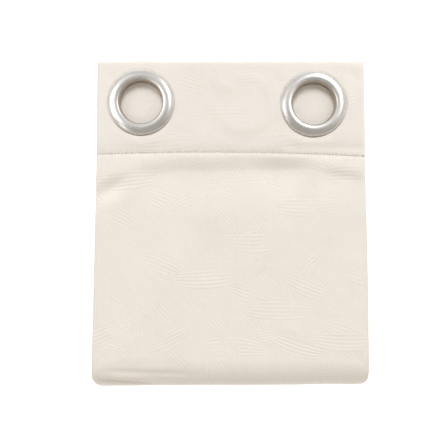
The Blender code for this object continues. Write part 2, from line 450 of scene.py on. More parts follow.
def stack_points(levels, half, along, columns):
    """x and level of every column in every row, for the skin that lies half a cloth off the middle."""
    k, share, turn = columns["width"], columns["share"], columns["turn"]
    after = np.minimum(k + 1, WIDTHS - 1)
    gaps = np.pad(abs(np.diff(levels, axis=1)) / 2, ((0, 0), (1, 1)))
    up = np.where(levels[:, :1] > levels[:, -1:], 1.0, -1.0)
    skin = half[:, None] * np.where(k % 2 == 0, 1.0, -1.0)
    bends = np.stack([fold_wander(number, along) for number in range(WIDTHS + 1)], axis=1)
    run_x = blend(TURN_X[k] + WAYS[k] * gaps[:, k], TURN_X[k + 1] - WAYS[k] * gaps[:, k + 1], share)
    run_x = run_x + bends[:, k] * (1 - share) ** 3 + bends[:, k + 1] * share ** 3
    run_level = levels[:, k] + up * skin
    radius = gaps[:, k + 1]
    fold_x = TURN_X[k + 1] + WAYS[k] * ((radius + skin) * np.sin(turn) - radius) + bends[:, k + 1]
    fold_level = (levels[:, k] + levels[:, after]) / 2 + up * (radius + skin) * np.cos(turn)
    on_run = turn < 0
    return np.where(on_run, run_x, fold_x), np.where(on_run, run_level, fold_level)


print("the packet is wider at its foot by", round(100 * FLARE, 1), "parts in a hundred")

# %% [markdown]
# `laid` adds the creases and turns the stack the way its row faces. The side edges sink and the
# corners of the foot round off, because nothing fills them.

# %% Points of the packet
CREASE_REACH = 17.0 * MM
EDGE_FALL, EDGE_WIDTH = 1.3 * MM, 8.0 * MM
# creases reach this far round the foot, and fade out over this distance
UNDER_FOOT, UNDER_FOOT_EASE = 22.0 * MM, 40.0 * MM
# the foot leans by this much at either end, its corners round off by this share, and the roll
# stands out by this much more than half a circle would
FOOT_SLOPE = 0.9 * MM
CORNER_ROUND = 0.18
ROLL_STRETCH = 1.17


def near_side(x, y):
    """0 inside the packet, rising to 1 at its left and right sides."""
    return np.clip(1 - (abs(SIDE_EDGE_X) * flare(y) - abs(x)) / EDGE_WIDTH, 0, 1)


def laid(x, level, rows, depth):
    """Points of the packet for places in its stack, with the creases that reach them."""
    kept = ("y", "way", "turn", "z", "down", "shown")
    y, way, turn, base, down, shown = (rows[key][:, None] for key in kept)
    x = x * flare(y) * bulge(base + level * np.cos(turn))
    edge = near_side(x, y)
    upper = 1 - smooth((down - (top_y - roll_y) - UNDER_FOOT) / UNDER_FOOT_EASE)
    loose = blend(1.0, smooth((seam_y - y) / SEAM_STILL), shown)
    lift = crease_heights(x, down) * upper * loose
    lift = lift + np.where(way == 0, seam_drop(y - seam_y), 0) - EDGE_FALL * edge ** 2 * upper
    lift = lift * np.clip(1 - depth / CREASE_REACH, 0, 1) ** 2
    level = level + np.where(way == 0, 1.0, np.sign(level)) * lift
    foot = np.where(way < 0, np.sin(turn), 0.0)
    reach = way * np.sin(turn) * abs(level) * (1 - CORNER_ROUND * foot * edge ** 2)
    reach = reach * np.where(way < 0, ROLL_STRETCH, 1.0)
    shift = foot * FOOT_SLOPE * x / roll_half + shown * seam_shift(x) * seam_pull(y)
    return np.stack((x, y + reach + shift, base + np.cos(turn) * level), axis=-1)


print("the foot is", round(2 * roll_half / MM), "mm wide in the solid")

# %% [markdown]
# A sheet gets two skins, half its thickness to either side, joined along all four edges, so that it
# is one closed piece with a real thickness. `cloth_at` keeps where each point lies on the flat cloth,
# so that the weave follows the folds later.

# %% Weave the panel
def put(name, data):
    """Adds an object to the scene for a mesh, a lamp or a camera."""
    thing = bpy.data.objects.new(name, data)
    bpy.context.scene.collection.objects.link(thing)
    return thing


def grid_faces(count_r, count_c):
    """Quads of both skins of a grid, and of the rim. The back skin's points follow the face's."""
    at = np.arange(count_r * count_c).reshape(count_r, count_c)
    quads = np.stack((at[:-1, :-1], at[1:, :-1], at[1:, 1:], at[:-1, 1:]), axis=-1).reshape(-1, 4)
    rim = np.concatenate((at[0], at[1:, -1], at[-1, -2::-1], at[-2:0:-1, 0]))
    ahead = np.roll(rim, -1)
    edge = np.stack((rim, ahead, ahead + at.size, rim + at.size), axis=-1)
    return np.concatenate((quads, quads[:, ::-1] + at.size, edge))


def cloth_places(columns, along):
    """Where each point of a grid lies on the flat cloth."""
    u, v = np.meshgrid(columns["u"], along)
    return np.stack((u, v, 0 * u), axis=-1).reshape(-1, 3)


def sheet_piece(name, points, faces, marks):
    """An object made of points and faces, that knows each point's place on the flat cloth."""
    mesh = bpy.data.meshes.new(name)
    mesh.from_pydata(points.tolist(), [], faces.tolist())
    cloth_at = mesh.attributes.new("cloth_at", "FLOAT_VECTOR", "POINT")
    cloth_at.data.foreach_set("vector", np.asarray(marks, np.float32).ravel())
    mesh.shade_smooth()
    piece = put(name, mesh)
    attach(piece, "root")
    return piece


def weave_panel():
    skins = []
    for side in (1, -1):
        x, level = stack_points(rows["levels"], side * rows["cloth"] / 2, rows["along"], columns)
        skins.append(laid(x, level, rows, rows["depth"][:, columns["width"]]).reshape(-1, 3))
    marks = cloth_places(columns, rows["along"])
    faces = grid_faces(len(rows["y"]), len(columns["u"]))
    return sheet_piece("panel_cloth", np.concatenate(skins), faces, np.concatenate((marks, marks)))


panel = weave_panel()
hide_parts("curtain_panel")
print("panel:", len(panel.data.polygons), "faces")

# %% [markdown]
# ## Shape the heading
#
# The heading is the same cloth turned over to double it, so it is stiffer and thicker. It is round
# at its top edge, where it is turned over, and flat at the stitches.

# %% Thickness of the heading
DOUBLE_HALF, SEWN_HALF, SEWN_EASE = 0.92 * MM, 0.50 * MM, 10.0 * MM
TOP_ROUND, TOP_PROUD = 2.4 * MM, 1.7 * MM
# keeps the two skins apart at the very edge, as a share of the rounding
THIN_EDGE = 0.001
edge_y = top_y + TOP_PROUD


def heading_half(y):
    """Half the heading's thickness: doubled cloth, rounded at its top edge, flat at the stitches."""
    below_top = np.clip((edge_y - y) / TOP_ROUND, THIN_EDGE, 1)
    rounded = np.sqrt(1 - (1 - below_top) ** 2)
    return blend(SEWN_HALF, DOUBLE_HALF, smooth((y - seam_y) / SEWN_EASE)) * rounded


print("the heading is", round(2 * DOUBLE_HALF / MM, 2), "mm thick")

# %% [markdown]
# Each ring pinches the heading: a narrow groove runs round the rim and the cloth puffs up outside
# it, both mostly on the side towards the foot, where the cloth is looser. Beneath the ring it lies
# still.

# %% Pinches at the rings
RING_RADIUS, RING_STILL = 32.2 * MM, 9.0 * MM
PUFF_HEIGHT, PUFF_AWAY, PUFF_HALF, PUFF_EASE = 0.55 * MM, 8.5 * MM, 4.8 * MM, 3.0 * MM
GROOVE_DEPTH, GROOVE_AWAY, GROOVE_HALF = 1.9 * MM, 0.45 * MM, 0.90 * MM
GROOVE_AT_HEAD = 0.1


def eyelet_width(number):
    """Which of the five widths an eyelet is set in."""
    return band_levels.index(round(eyelets[number - 1][0].z, 5))


def eyelets_in(k):
    return [number for number in range(1, len(eyelets) + 1) if eyelet_width(number) == k]


def ring_distance(x, y, number):
    place, _ = eyelets[number - 1]
    return np.hypot(x - place.x, y - place.y)


def pinched(lift, x, y, number):
    """The lift as a ring changes it: still beneath the ring, a groove at its rim, a puff outside."""
    far = ring_distance(x, y, number)
    away = far - RING_RADIUS
    to_foot = (1 + (eyelets[number - 1][0].y - y) / np.maximum(far, MM)) / 2
    puff = PUFF_HEIGHT * np.exp(-(((away - PUFF_AWAY * to_foot) / PUFF_HALF) ** 2))
    puff = puff * smooth(1 + away / PUFF_EASE)
    groove = GROOVE_DEPTH * np.exp(-(((away - GROOVE_AWAY) / GROOVE_HALF) ** 2))
    groove = groove * blend(GROOVE_AT_HEAD, 1.0, to_foot)
    return lift * smooth(away / RING_STILL) + puff - groove


print("eyelets of each width:", [eyelets_in(k) for k in range(WIDTHS)])

# %% [markdown]
# The rest is laid on as on the panel: creases, one long wave, the roll at the top edge and the dip
# to the stitches. The back of the third eyelet, one width down, presses a soft print into the face
# from below. Deeper widths share less and less of all that.

# %% Rises and falls of the heading
# how much of the face's creases each width shares, and how much of the seam's dip
WIDTH_WEIGHTS = np.array([1.0, 0.55, 0.4, 0.3, 0.2])
DIP_SHARES = np.clip(1 - (face_z - np.array(band_levels)) / CREASE_REACH, 0, 1) ** 2
HEADING_CREASES = (
    # from x, y above the seam, to x, y above the seam, height, half width, all in mm
    (-17, 66, -12, 84, 1.3, 3.6),
    (-14, 68, 6, 64, 0.8, 4.0),
    (38, 44, 40, 84, 0.8, 4.5),
    (-8, 22, -14, 60, -0.6, 6.0),
    (52, 5, 136, 7, -0.9, 4.5),
    (-126, 84, -112, 62, -0.9, 3.5),
    (112, 86, 130, 70, -0.9, 3.5),
)
HEADING_FADE = (3.0, 0.0, 0.4)
# rings in the print of the third eyelet: height, radius and half width in mm
PRINT = ((0.60, 27.0, 4.5), (-0.45, 39.0, 6.0))
HEADING_WAVE, WAVE_ACROSS, WAVE_UP, WAVE_START = 0.40 * MM, 37.0 * MM, 29.0 * MM, 0.8
TOP_FALL, TOP_FALL_DEPTH = 1.9 * MM, 6.0 * MM
# lifts a point on the stitches to the heading's side of them
HAIR = 1e-6


def heading_lift(x, y, k):
    """How far the middle of the heading's cloth lies off its level, for points of width k."""
    lift = np.zeros(np.broadcast(x, y).shape)
    for *line, height, half in HEADING_CREASES:
        off, left = beside_crease(x / MM, (y - seam_y) / MM, line, half, HEADING_FADE)
        lift += height * MM * left * np.exp(-((off / half) ** 2))
    for height, radius, half in PRINT:
        lift += height * MM * np.exp(-(((ring_distance(x, y, 3) / MM - radius) / half) ** 2))
    lift += HEADING_WAVE * np.sin(x / WAVE_ACROSS + WAVE_START) * np.sin(y / WAVE_UP)
    lift = lift * smooth((y - seam_y) / SEAM_STILL)
    for number in eyelets_in(k):
        lift = pinched(lift, x, y, number)
    roll = np.clip(1 - (edge_y - y) / TOP_FALL_DEPTH, 0, 1)
    lift = lift - EDGE_FALL * near_side(x, y) ** 2 - TOP_FALL * roll ** 2
    return lift * WIDTH_WEIGHTS[k] + seam_drop(y - seam_y + HAIR) * DIP_SHARES[k]


print(len(HEADING_CREASES), "creases in the heading, and a print of", len(PRINT), "rings")

# %% [markdown]
# ## Weave the heading with its holes
#
# The heading is a grid like the panel. Round each eyelet a square block of it is left out, and rings
# of faces run from the edge of that square to a true circle. That gives a clean hole, where a hole
# cut by a Boolean would leave slivers for the shading to catch on. So a width's columns fall into
# blocks at its eyelets, with plain cloth between them.

# %% Grid of the heading
BLOCK_HALF, BLOCK_STEPS = 38.4 * MM, 24
EYELET_ROW_Y = sum(place.y for place, _ in eyelets) / len(eyelets)
FACE_COLUMN, HIDDEN_COLUMN = 3.0 * MM, 11.0 * MM
ABOVE_SEAM = np.array([0.0, 0.25, 0.6, 1.2, 2.0, 2.9, 4.0, 5.4, 7.0, 8.8, 10.4]) * MM
BELOW_TOP = np.array([0.0, 0.08, 0.25, 0.5, 0.85, 1.25, 1.75, 2.4, 3.1]) * MM


def band_rows():
    block = np.linspace(EYELET_ROW_Y - BLOCK_HALF, EYELET_ROW_Y + BLOCK_HALF, BLOCK_STEPS + 1)
    return np.concatenate((edge_y - BELOW_TOP, block[::-1], seam_y + ABOVE_SEAM[::-1]))


def straight_run(k):
    """x at which a width's straight part starts and ends in the eyelets' row, between its folds."""
    gaps = np.pad(abs(np.diff(band_levels)) / 2, 1)
    narrow = flare(EYELET_ROW_Y) * bulge(band_levels[k])
    return (TURN_X[k] + WAYS[k] * gaps[k]) * narrow, (TURN_X[k + 1] - WAYS[k] * gaps[k + 1]) * narrow


def band_shares(k):
    """Shares of a width's run, and where each of its eyelets' blocks starts among them."""
    start_x, end_x = straight_run(k)
    length = abs(end_x - start_x)
    step = FACE_COLUMN if k == 0 else HIDDEN_COLUMN
    spots = {abs(eyelets[number - 1][0].x - start_x): number for number in eyelets_in(k)}
    shares, here, starts = [], 0.0, {}
    for spot in sorted(spots):
        count = max(2, round((spot - BLOCK_HALF - here) / step))
        shares += list(np.linspace(here, spot - BLOCK_HALF, count + 1)[:-1])
        starts[spots[spot]] = len(shares)
        shares += list(np.linspace(spot - BLOCK_HALF, spot + BLOCK_HALF, BLOCK_STEPS + 1)[:-1])
        here = spot + BLOCK_HALF
    shares += list(np.linspace(here, length, max(2, round((length - here) / step)) + 1))
    return np.array(shares) / length, starts


print(len(band_rows()), "rows in the heading, and", len(band_shares(0)[0]), "columns in its face")

# %% [markdown]
# A patch takes the place of a block. Its outer loop is the block's own border, so nothing has to be
# welded, and its loops are closest under the rim of the ring, where the groove is.

# %% Patches round the holes
# share of the way back to the border, then the radii of true circles in mm down to the hole
PATCH_SHARES = (0.66, 0.33, 0.0)
PATCH_RADII = np.array([35.2, 34.5, 33.9, 33.4, 33.0, 32.6, 32.2, 31.7, 30.8, 23.0]) * MM


def block_border(row, column):
    """Rows and columns round an eyelet's block, in order."""
    steps = range(BLOCK_STEPS)
    return (
        [(row, column + s) for s in steps] + [(row + s, column + BLOCK_STEPS) for s in steps]
        + [(row + BLOCK_STEPS, column + BLOCK_STEPS - s) for s in steps]
        + [(row + BLOCK_STEPS - s, column) for s in steps]
    )


def patch_loops(place, outer):
    """x and y of the loops from a block's border to its hole, and each loop's share of the border."""
    angle = np.arctan2(outer[:, 1] - place.y, outer[:, 0] - place.x)
    around = np.stack((np.cos(angle), np.sin(angle)), axis=-1)
    middle = np.array((place.x, place.y))
    loops = [(blend(middle + around * PATCH_RADII[0], outer, share), share) for share in PATCH_SHARES]
    return loops + [(middle + around * radius, 0.0) for radius in PATCH_RADII[1:]]


def patch_round_hole(number, skins, marks, first, border):
    """Points, marks and faces that join an eyelet's block to its hole, on both skins."""
    place, up = eyelets[number - 1]
    k = eyelet_width(number)
    start_x, end_x = straight_run(k)
    count = len(border)
    ahead = np.roll(np.arange(count), -1)
    points, own_marks, faces, rings = [], [], [], []
    for skin, side in enumerate((1, -1)):
        loops = [np.array(border) + skin * len(skins[0])]
        for flat, share in patch_loops(place, skins[0][border][:, :2]):
            lift = heading_lift(flat[:, 0], flat[:, 1], k) + side * up * heading_half(flat[:, 1])
            loops.append(first + len(points) * count + np.arange(count))
            points.append(np.column_stack((flat, band_levels[k] + lift)))
            u = blend(TURNS[k], TURNS[k + 1], (flat[:, 0] - start_x) / (end_x - start_x))
            own = np.stack((u, top_y - flat[:, 1], 0 * u), axis=-1)
            own_marks.append(blend(own, marks[border], share))
        for near, far in zip(loops, loops[1:]):
            quads = np.stack((near, near[ahead], far[ahead], far), axis=-1)
            faces.append(quads[:, ::-1] if side > 0 else quads)
        rings.append(loops[-1])
    faces.append(np.stack((rings[0][ahead], rings[0], rings[1], rings[1][ahead]), axis=-1))
    return np.concatenate(points), np.concatenate(own_marks), np.concatenate(faces)


print("each patch has", len(PATCH_SHARES) + len(PATCH_RADII) - 1, "loops on either side of the cloth")

# %% [markdown]
# The heading's folds are half circles as the panel's are, so `stack_points` serves again. What is
# new is the lift of each width, the patches, and the blocks that they replace.

# %% Weave the heading
def column_lifts(x, ys, widths):
    return np.stack([heading_lift(x[:, column], ys, k) for column, k in enumerate(widths)], axis=1)


def weave_heading():
    ys = band_rows()
    made = [band_shares(k) for k in range(WIDTHS)]
    columns = column_stations([shares for shares, _ in made])
    levels = np.tile(band_levels, (len(ys), 1))
    k = columns["width"]
    fold = np.clip(columns["turn"], 0, None) / math.pi
    skins = []
    for side in (1, -1):
        x, level = stack_points(levels, side * heading_half(ys), top_y - ys, columns)
        y = ys[:, None] + 0 * x
        x = x * flare(y) * bulge(level)
        after = np.minimum(k + 1, WIDTHS - 1)
        z = level + blend(column_lifts(x, ys, k), column_lifts(x, ys, after), fold)
        skins.append(np.stack((x, y + seam_shift(x) * seam_pull(y), z), axis=-1).reshape(-1, 3))
    marks = cloth_places(columns, top_y - ys)
    at = np.arange(len(marks)).reshape(len(ys), len(k))
    grid = grid_faces(len(ys), len(k))
    cells = np.arange((len(ys) - 1) * (len(k) - 1)).reshape(len(ys) - 1, len(k) - 1)
    kept = np.ones(len(grid), bool)
    points, all_marks, faces = skins[:], [marks, marks], []
    row = len(BELOW_TOP)
    for number in range(1, len(eyelets) + 1):
        width = eyelet_width(number)
        column = int(np.flatnonzero(k == width)[0]) + made[width][1][number]
        border = [int(at[r, c]) for r, c in block_border(row, column)]
        more = patch_round_hole(number, skins, marks, sum(map(len, points)), border)
        for whole, part in zip((points, all_marks, faces), more):
            whole.append(part)
        block = cells[row:row + BLOCK_STEPS, column:column + BLOCK_STEPS]
        kept[block] = kept[block + cells.size] = False
    faces = np.concatenate([grid[kept]] + faces)
    return sheet_piece("heading_cloth", np.concatenate(points), faces, np.concatenate(all_marks))


heading = weave_heading()
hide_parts("heading_band")
print("heading:", len(heading.data.polygons), "faces and", len(eyelets), "holes")

# %% [markdown]
# ## Turn the eyelets
#
# A curtain eyelet is two stamped rings that clip together through the cloth. The face ring is a
# domed flange whose lip rolls over into a barrel that narrows as it passes through the hole. Its
# rim turns under and stands just off the cloth. The back ring is plainer. Both are round, so one
# outline spun about the axis makes each. A smooth curve is led through a few outline points,
# because a ring's gloss shows every corner.

# %% Outlines of the rings
RING_TURNS, OUTLINE_STEPS = 112, 3
FACE_SHOWN = (
    # radius, height from the middle of the cloth in mm: up the barrel, over the lip and the dome
    (21.02, -0.70), (21.05, 0.40), (21.20, 1.35), (21.45, 2.25), (21.80, 3.05), (22.20, 3.75),
    (22.62, 4.30), (23.15, 4.68), (23.90, 4.90), (24.80, 5.03), (25.80, 5.10), (27.10, 5.02),
    (28.40, 4.74), (29.60, 4.30), (30.60, 3.76), (31.35, 3.16), (31.90, 2.55), (32.20, 2.05),
    (32.24, 1.70), (31.95, 1.50),
)
FACE_HIDDEN = ((31.2, 1.45), (28.5, 1.0), (22.9, 1.0), (22.6, 0.6), (22.6, -0.70))
BACK_SHOWN = (
    (20.95, -1.02), (20.80, -1.60), (20.72, -2.80), (20.80, -3.80), (21.15, -4.32), (22.20, -4.50),
    (24.60, -4.48), (27.40, -4.10), (30.00, -3.40), (31.50, -2.50), (31.98, -1.70), (31.80, -1.04),
)
BACK_HIDDEN = ((31.0, -1.0), (21.6, -1.0))


def smooth_outline(points):
    """Points of a smooth curve led through the given ones (a Catmull-Rom curve)."""
    p = np.array(points)
    p = np.vstack((2 * p[0] - p[1], p, 2 * p[-1] - p[-2]))
    made = []
    for a, b, c, d in zip(p, p[1:], p[2:], p[3:]):
        for t in np.arange(OUTLINE_STEPS) / OUTLINE_STEPS:
            bend = (2 * a - 5 * b + 4 * c - d) * t * t + (3 * b - 3 * c + d - a) * t ** 3
            made.append((2 * b + (c - a) * t + bend) / 2)
    return np.array(made + [p[-2]])


def turned_ring(name, shown, hidden):
    """Spins an outline about the axis, as a mesh around its own middle."""
    outline = np.vstack((smooth_outline(shown), np.array(hidden))) * MM
    radius, height = outline[:, 0], outline[:, 1]
    angles = np.arange(RING_TURNS) / RING_TURNS * math.tau
    x, y = np.outer(np.cos(angles), radius), np.outer(np.sin(angles), radius)
    points = np.stack((x, y, np.tile(height, (RING_TURNS, 1))), axis=-1).reshape(-1, 3)
    at = np.arange(len(points)).reshape(RING_TURNS, len(outline))
    ahead = np.roll(at, -1, axis=0)
    quads = np.stack((at, np.roll(at, -1, axis=1), np.roll(ahead, -1, axis=1), ahead), axis=-1)
    quads = quads.reshape(-1, 4)
    # an outline that runs the other way round would turn the faces inside out
    if np.sum(radius * np.roll(height, -1) - np.roll(radius, -1) * height) > 0:
        quads = quads[:, ::-1]
    mesh = bpy.data.meshes.new(name)
    mesh.from_pydata(points.tolist(), [], quads.tolist())
    mesh.shade_smooth()
    # a stamped ring is sharp where the side that shows ends
    sharp = {len(outline) - len(hidden) - 1, len(outline) - 1}
    for edge in mesh.edges:
        a, b = (corner % len(outline) for corner in edge.vertices)
        if a == b and a in sharp:
            edge.use_edge_sharp = True
    return mesh


face_ring = turned_ring("face_ring", FACE_SHOWN, FACE_HIDDEN)
back_ring = turned_ring("back_ring", BACK_SHOWN, BACK_HIDDEN)
for number, (place, up) in enumerate(eyelets, start=1):
    for part, mesh in (("front", face_ring), ("back", back_ring)):
        ring = put(f"eyelet_{number}_{part}_ring", mesh)
        ring.location = place
        ring.rotation_euler = (0.0 if up > 0 else math.pi, 0.0, 0.0)
        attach(ring, "root")
        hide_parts(f"eyelet_{number}_{part}")

# %% [markdown]
# ## Sew the heading down
#
# A lockstitch runs on both sides of the cloth, along the seam through the five widths and their
# folds. So a stitch is placed by how far along the cloth it lies and on which side.

# %% Places along the seam
STITCH_PITCH, STITCHES_ABOVE_EDGE = 3.25 * MM, 0.55 * MM
# how far the thread's middle stands out, as a share of its radius
THREAD_RADIUS, THREAD_PROUD = 0.26 * MM, 0.6


def seam_point(u, side):
    """A point on the seam at a distance u along the cloth, its direction and its outward normal."""
    k = int(np.clip(np.searchsorted(TURNS, u, side="right") - 1, 0, WIDTHS - 1))
    share = (u - TURNS[k]) / (TURNS[k + 1] - TURNS[k])
    y = seam_y + STITCHES_ABOVE_EDGE
    bends = [float(fold_wander(number, HEADING_DEPTH)) for number in (k, k + 1)]
    x = blend(TURN_X[k], TURN_X[k + 1], share) + bends[0] * (1 - share) ** 3 + bends[1] * share ** 3
    x = float(x * flare(y) * bulge(band_levels[k]))
    up = side * (1 if k % 2 == 0 else -1)
    lift = float(heading_lift(np.array([x]), np.array([y]), k)[0])
    height = band_levels[k] + lift + up * (float(heading_half(y)) + THREAD_PROUD * THREAD_RADIUS)
    return Vector((x, y + float(seam_shift(x)), height)), WAYS[k], up


print("room for", int(TURNS[-1] / STITCH_PITCH), "stitches on each side")

# %% [markdown]
# Thread shows as short lengths with a pinhole between them. Each stitch here is a short spindle,
# thick in the middle and bent down at its ends into the holes. All of them are joined into one mesh,
# because 800 objects would be slow and no easier to use.

# %% Stitches along the seam
STITCH_LENGTH, END_DIP = 2.75 * MM, 0.42 * MM
STITCH_SIDES, STITCH_RINGS = 6, 7
# how thin the thread gets at its tips, as a share of its radius
THREAD_TIP = 0.2
# slant of a stitch in mm over half its length, its change from stitch to stitch, and its rhythm
SLANT, SLANT_CHANGE, SLANT_RHYTHM = 0.06, 0.10, 1.7
PLY_TWIST = 0.5
CLEAR_OF_FOLD = 4.0 * MM


def stitch(number, side, first):
    """Points and faces of one stitch, whose points are counted from `first`."""
    middle, way, up = seam_point((number + 0.5) * STITCH_PITCH, side)
    slant = SLANT_CHANGE * math.sin(SLANT_RHYTHM * number) + SLANT
    points, faces = [], []
    for ring in range(STITCH_RINGS):
        t = ring / (STITCH_RINGS - 1) * 2 - 1
        radius = THREAD_RADIUS * max(math.sqrt(max(1 - t ** 4, 0)), THREAD_TIP)
        dip = -up * END_DIP * abs(t) ** 3
        centre = middle + Vector((way * t * STITCH_LENGTH / 2, t * slant * MM, dip))
        for corner in range(STITCH_SIDES):
            angle = math.tau * corner / STITCH_SIDES + PLY_TWIST * ring
            points.append(centre + Vector((0, math.cos(angle), math.sin(angle))) * radius)
    for start in range(first, first + (STITCH_RINGS - 1) * STITCH_SIDES, STITCH_SIDES):
        for corner in range(STITCH_SIDES):
            a, b = start + corner, start + (corner + 1) % STITCH_SIDES
            faces.append((a, b, b + STITCH_SIDES, a + STITCH_SIDES))
    cap = tuple(range(first, first + STITCH_SIDES))
    faces += [cap[::-1], tuple(corner + (STITCH_RINGS - 1) * STITCH_SIDES for corner in cap)]
    return points, faces if way > 0 else [face[::-1] for face in faces]


def sew():
    points, faces = [], []
    for number in range(int(TURNS[-1] / STITCH_PITCH)):
        if min(abs((number + 0.5) * STITCH_PITCH - turn) for turn in TURNS) < CLEAR_OF_FOLD:
            continue
        for side in (1, -1):
            more_points, more_faces = stitch(number, side, len(points))
            points += more_points
            faces += more_faces
    mesh = bpy.data.meshes.new("seam_stitches")
    mesh.from_pydata(points, [], faces)
    mesh.shade_smooth()
    piece = put("seam_stitches", mesh)
    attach(piece, "root")
    return piece


stitches = sew()
print("stitches:", len(stitches.data.polygons), "faces")

# %% [markdown]
# ## Mix the finishes
#
# A material in Blender is a chain of nodes. Small helpers keep the chains readable. `fill` gives a
# node's inputs numbers or other nodes' outputs, `calc` does one sum, and the others are the steps
# that these finishes take again and again.

# %% Node helpers
def fill(tree, made, inputs):
    """Gives each input, by its name or number, a constant or another node's output."""
    for name, value in inputs.items():
        if isinstance(value, bpy.types.NodeSocket):
            tree.links.new(value, made.inputs[name])
        else:
            made.inputs[name].default_value = value


def node(tree, kind, inputs, **settings):
    made = tree.nodes.new("ShaderNode" + kind)
    for key, value in settings.items():
        setattr(made, key, value)
    fill(tree, made, inputs)
    return made


def calc(tree, operation, *values):
    return node(tree, "Math", dict(enumerate(values)), operation=operation).outputs[0]


def scaled(tree, vector, factor):
    return node(tree, "VectorMath", {0: vector, "Scale": factor}, operation="SCALE").outputs[0]


def far_off(tree, x, y):
    flat = node(tree, "CombineXYZ", {"X": x, "Y": y}).outputs[0]
    return node(tree, "VectorMath", {0: flat}, operation="LENGTH").outputs["Value"]


def noise(tree, vector, scale, detail):
    return node(tree, "TexNoise", {"Vector": vector, "Scale": scale, "Detail": detail}).outputs["Fac"]


def ramp(tree, value, start, end, low, high, kind="LINEAR"):
    """Runs from low, where the value is at start, to high, where it is at end."""
    names = ("Value", "From Min", "From Max", "To Min", "To Max")
    inputs = dict(zip(names, (value, start, end, low, high)))
    return node(tree, "MapRange", inputs, interpolation_type=kind).outputs[0]


def sway(tree, share, size, middle):
    """Goes as far to either side of the middle as half the size, as a share goes from 0 to 1."""
    return calc(tree, "MULTIPLY_ADD", calc(tree, "SUBTRACT", share, 0.5), size, middle)


def bump(tree, height, distance, strength=1.0, over=None, invert=False):
    """A bump, over the normal of the one before it if there is one."""
    inputs = {"Height": height, "Distance": distance, "Strength": strength}
    if over:
        inputs["Normal"] = over
    return node(tree, "Bump", inputs, invert=invert).outputs[0]


def new_material(name):
    material = bpy.data.materials.new(name)
    material.use_nodes = True
    return material, material.node_tree, material.node_tree.nodes["Principled BSDF"]


print("helpers ready")

# %% [markdown]
# ## The woven leaves
#
# The cloth is a jacquard: long leaves drawn by bundles of raised lines that part in the middle of a
# leaf and meet at its tips. One leaf is easy to draw in numbers. Across the leaf the lines repeat
# evenly, and dividing by the leaf's width at that point makes them meet at the tips. A leaf pattern
# is that drawing repeated in brickwork, each leaf shifted, turned and bent by its own chance, and
# some left out. Eight such patterns at eight angles, each lying over the last, hide the brickwork.

# %% One pattern of leaves, as a node group
ROW_SHIFT = 0.43
# how much chance slips a leaf along, turns it, bows it and changes its width
LEAF_SLIP, LEAF_TURN, LEAF_BOW, LEAF_WIDENING = 0.10, 0.12, 0.009, 0.16
# a leaf's half length and half width, as shares of its cell
LEAF_HALF_LENGTH, LEAF_HALF_WIDTH = 0.47, 0.34
TIP_WIDTH, TIP_END, TIP_FADE = 0.03, 0.985, 0.35
GROUP_INPUTS = ("Place", "Angle", "Length", "Width", "Line", "Share", "Seed")


def leaf_group():
    group = bpy.data.node_groups.new("leaf_pattern", "ShaderNodeTree")
    for name in GROUP_INPUTS:
        kind = "NodeSocketVector" if name == "Place" else "NodeSocketFloat"
        group.interface.new_socket(name, in_out="INPUT", socket_type=kind)
    for name in ("Mask", "Height"):
        group.interface.new_socket(name, in_out="OUTPUT", socket_type="NodeSocketFloat")
    given = group.nodes.new("NodeGroupInput").outputs
    place, angle, length, width, line, share, seed = (given[name] for name in GROUP_INPUTS)
    turned = node(group, "VectorRotate", {"Vector": place, "Angle": angle}, rotation_type="Z_AXIS")
    xyz = node(group, "SeparateXYZ", {"Vector": turned.outputs[0]}).outputs
    cell_y = calc(group, "DIVIDE", xyz["Y"], width)
    row = calc(group, "FLOOR", cell_y)
    cell_x = calc(group, "MULTIPLY_ADD", row, ROW_SHIFT, calc(group, "DIVIDE", xyz["X"], length))
    column = calc(group, "FLOOR", cell_x)
    cell = node(group, "CombineXYZ", {"X": column, "Y": row, "Z": seed}).outputs[0]
    chance = node(group, "TexWhiteNoise", {"Vector": cell}, noise_dimensions="3D").outputs
    lots = node(group, "SeparateColor", {"Color": chance["Color"]}).outputs
    one, two, three = (calc(group, "SUBTRACT", lots[name], 0.5) for name in ("Red", "Green", "Blue"))
    # place in the cell, in millimetres from the leaf's own middle
    a, b = (
        calc(group, "MULTIPLY", calc(group, "SUBTRACT", calc(group, "SUBTRACT", at, whole), 0.5), size)
        for at, whole, size in ((cell_x, column, length), (cell_y, row, width))
    )
    slip = calc(group, "MULTIPLY", one, calc(group, "MULTIPLY", length, LEAF_SLIP))
    a = calc(group, "SUBTRACT", a, slip)
    b = calc(group, "MULTIPLY_ADD", a, calc(group, "MULTIPLY", two, LEAF_TURN), b)
    bow = calc(group, "MULTIPLY", three, LEAF_BOW)
    b = calc(group, "MULTIPLY_ADD", calc(group, "MULTIPLY", a, a), bow, b)
    half_width = calc(group, "MULTIPLY_ADD", one, LEAF_WIDENING, LEAF_HALF_WIDTH)
    half_width = calc(group, "MULTIPLY", width, half_width)
    along = calc(group, "DIVIDE", a, calc(group, "MULTIPLY", length, LEAF_HALF_LENGTH))
    taper = calc(group, "SUBTRACT", 1.0, calc(group, "MULTIPLY", along, along))
    taper = calc(group, "MAXIMUM", taper, TIP_WIDTH)
    across = calc(group, "DIVIDE", b, taper)
    inside = calc(group, "LESS_THAN", calc(group, "ABSOLUTE", across), half_width)
    between_tips = calc(group, "LESS_THAN", calc(group, "ABSOLUTE", along), TIP_END)
    kept = calc(group, "LESS_THAN", chance["Value"], share)
    mask = calc(group, "MULTIPLY", calc(group, "MULTIPLY", inside, between_tips), kept)
    turns = calc(group, "DIVIDE", across, line)
    lines = calc(group, "COSINE", calc(group, "MULTIPLY", turns, math.tau))
    height = calc(group, "MULTIPLY", lines, calc(group, "POWER", taper, TIP_FADE))
    fill(group, group.nodes.new("NodeGroupOutput"), {"Mask": mask, "Height": height})
    return group


